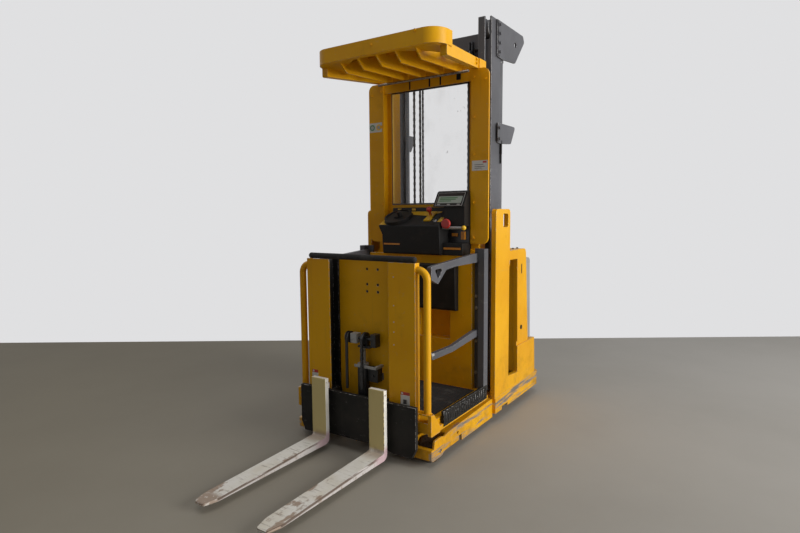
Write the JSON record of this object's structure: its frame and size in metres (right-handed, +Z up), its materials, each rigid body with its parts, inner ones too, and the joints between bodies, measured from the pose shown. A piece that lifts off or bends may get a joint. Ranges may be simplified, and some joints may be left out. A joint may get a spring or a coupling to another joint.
{
  "type": "order picker truck",
  "caption": "Electric order picker truck with a rising operator cabin, two-stage mast, pallet forks, straddle legs and swinging side gates.",
  "frame": {"origin": "on the floor under the middle of the truck's width and length", "axes": "+Z up, forks point to -Y, +X to the right seen from the fork side"},
  "size_m": [0.994, 2.534, 2.59],
  "materials": {
    "yellow_paint": "worn gloss",
    "dark_paint": "satin",
    "grey_paint": "satin",
    "fork_steel": "worn, rusty",
    "black_plate": "scuffed",
    "bare_steel": "oiled",
    "chrome": "polished",
    "wheel_tread": "worn polyurethane",
    "black_pad": "matt",
    "black_plastic": "fine grain",
    "battery_case": "matt",
    "clear_pane": "scratched"
  },
  "bodies": {
    "chassis": {"leg_right": "yellow_paint", "leg_left": "yellow_paint", "load_axles": "bare_steel", "chassis_base": "yellow_paint", "side_frame_right": "yellow_paint", "side_frame_left": "yellow_paint", "hood_lid": "yellow_paint", "lower_hood": "yellow_paint", "rear_cover": "grey_paint", "battery": "battery_case", "outer_rail_right": "dark_paint", "outer_rail_left": "dark_paint", "outer_ties": "dark_paint", "mast_brackets": "dark_paint", "lift_barrels": "dark_paint", "anchor_chains": "bare_steel"},
    "drive_unit": {"drive_yoke": "dark_paint", "drive_motor": "dark_paint"},
    "drive_wheel_body": {"drive_wheel": "wheel_tread"},
    "load_wheel_right_body": {"load_wheel_right": "wheel_tread"},
    "load_wheel_left_body": {"load_wheel_left": "wheel_tread"},
    "inner_mast": {"inner_rail_right": "dark_paint", "inner_rail_left": "dark_paint", "inner_ties": "dark_paint", "lift_rods": "chrome", "lift_chains": "bare_steel"},
    "cabin": {"cabin_floor": "yellow_paint", "toe_box_right": "yellow_paint", "toe_box_left": "yellow_paint", "front_panel_right": "yellow_paint", "front_panel_left": "yellow_paint", "front_back_plate": "yellow_paint", "front_pad": "black_pad", "hand_tubes": "yellow_paint", "rear_wall": "yellow_paint", "storage_box": "black_plastic", "rear_post_right": "yellow_paint", "rear_post_left": "yellow_paint", "window_frame": "yellow_paint", "window_gasket": "black_pad", "window_pane": "clear_pane", "overhead_guard": "yellow_paint", "gate_posts": "dark_paint", "kick_plates": "dark_paint", "cabin_carriage": "dark_paint", "console_body": "black_plastic", "display_unit": "black_plastic", "steering_disc": "black_plastic", "console_controls": "black_plastic", "fork_rails": "black_plate", "fork_cylinder": "black_plate"},
    "gate_right": {"gate_rail_right": "dark_paint"},
    "gate_left": {"gate_rail_left": "dark_paint"},
    "gate_bar_right_body": {"gate_bar_right": "dark_paint"},
    "gate_bar_left_body": {"gate_bar_left": "dark_paint"},
    "fork_head": {"lift_head": "bare_steel"},
    "fork_carriage": {"carriage_plate": "black_plate", "carriage_frame": "black_plate", "fork_right": "fork_steel", "fork_left": "fork_steel"}
  },
  "joints": [
    {"name": "steering", "type": "hinge", "parent": "chassis", "child": "drive_unit", "pos_m": [0, 1.02, 0.27], "axis": [0, 0, 1], "range_deg": [-90, 90]},
    {"name": "drive_wheel_spin", "type": "hinge", "parent": "drive_unit", "child": "drive_wheel_body", "pos_m": [0, 1.02, 0.115], "axis": [1, 0, 0], "continuous": true},
    {"name": "load_wheel_right_spin", "type": "hinge", "parent": "chassis", "child": "load_wheel_right_body", "pos_m": [0.411, -0.228, 0.066], "axis": [1, 0, 0], "continuous": true},
    {"name": "load_wheel_left_spin", "type": "hinge", "parent": "chassis", "child": "load_wheel_left_body", "pos_m": [-0.411, -0.228, 0.066], "axis": [1, 0, 0], "continuous": true},
    {"name": "mast_lift", "type": "slide", "parent": "chassis", "child": "inner_mast", "axis": [0, 0, 1], "range_m": [0, 1.7]},
    {"name": "cabin_lift", "type": "slide", "parent": "inner_mast", "child": "cabin", "axis": [0, 0, 1], "range_m": [0, 1.7]},
    {"name": "fork_lift", "type": "slide", "parent": "cabin", "child": "fork_carriage", "axis": [0, 0, 1], "range_m": [0, 0.75]},
    {"name": "fork_head_lift", "type": "slide", "parent": "cabin", "child": "fork_head", "axis": [0, 0, 1], "range_m": [0, 0.375]},
    {"name": "gate_right_swing", "type": "hinge", "parent": "cabin", "child": "gate_right", "pos_m": [0.417, 0.325, 1.078], "axis": [-1, 0, 0], "range_deg": [0, 80]},
    {"name": "gate_bar_right_swing", "type": "hinge", "parent": "cabin", "child": "gate_bar_right_body", "pos_m": [0.417, 0.325, 0.611], "axis": [-1, 0, 0], "range_deg": [0, 80]},
    {"name": "gate_left_swing", "type": "hinge", "parent": "cabin", "child": "gate_left", "pos_m": [-0.417, 0.325, 1.078], "axis": [-1, 0, 0], "range_deg": [0, 80]},
    {"name": "gate_bar_left_swing", "type": "hinge", "parent": "cabin", "child": "gate_bar_left_body", "pos_m": [-0.417, 0.325, 0.611], "axis": [-1, 0, 0], "range_deg": [0, 80]}
  ],
  "couplings": [
    {"joint": "cabin_lift", "follows": "mast_lift", "ratio": 1},
    {"joint": "fork_head_lift", "follows": "fork_lift", "ratio": 0.5},
    {"joint": "gate_bar_right_swing", "follows": "gate_right_swing", "ratio": 1},
    {"joint": "gate_bar_left_swing", "follows": "gate_left_swing", "ratio": 1}
  ]
}
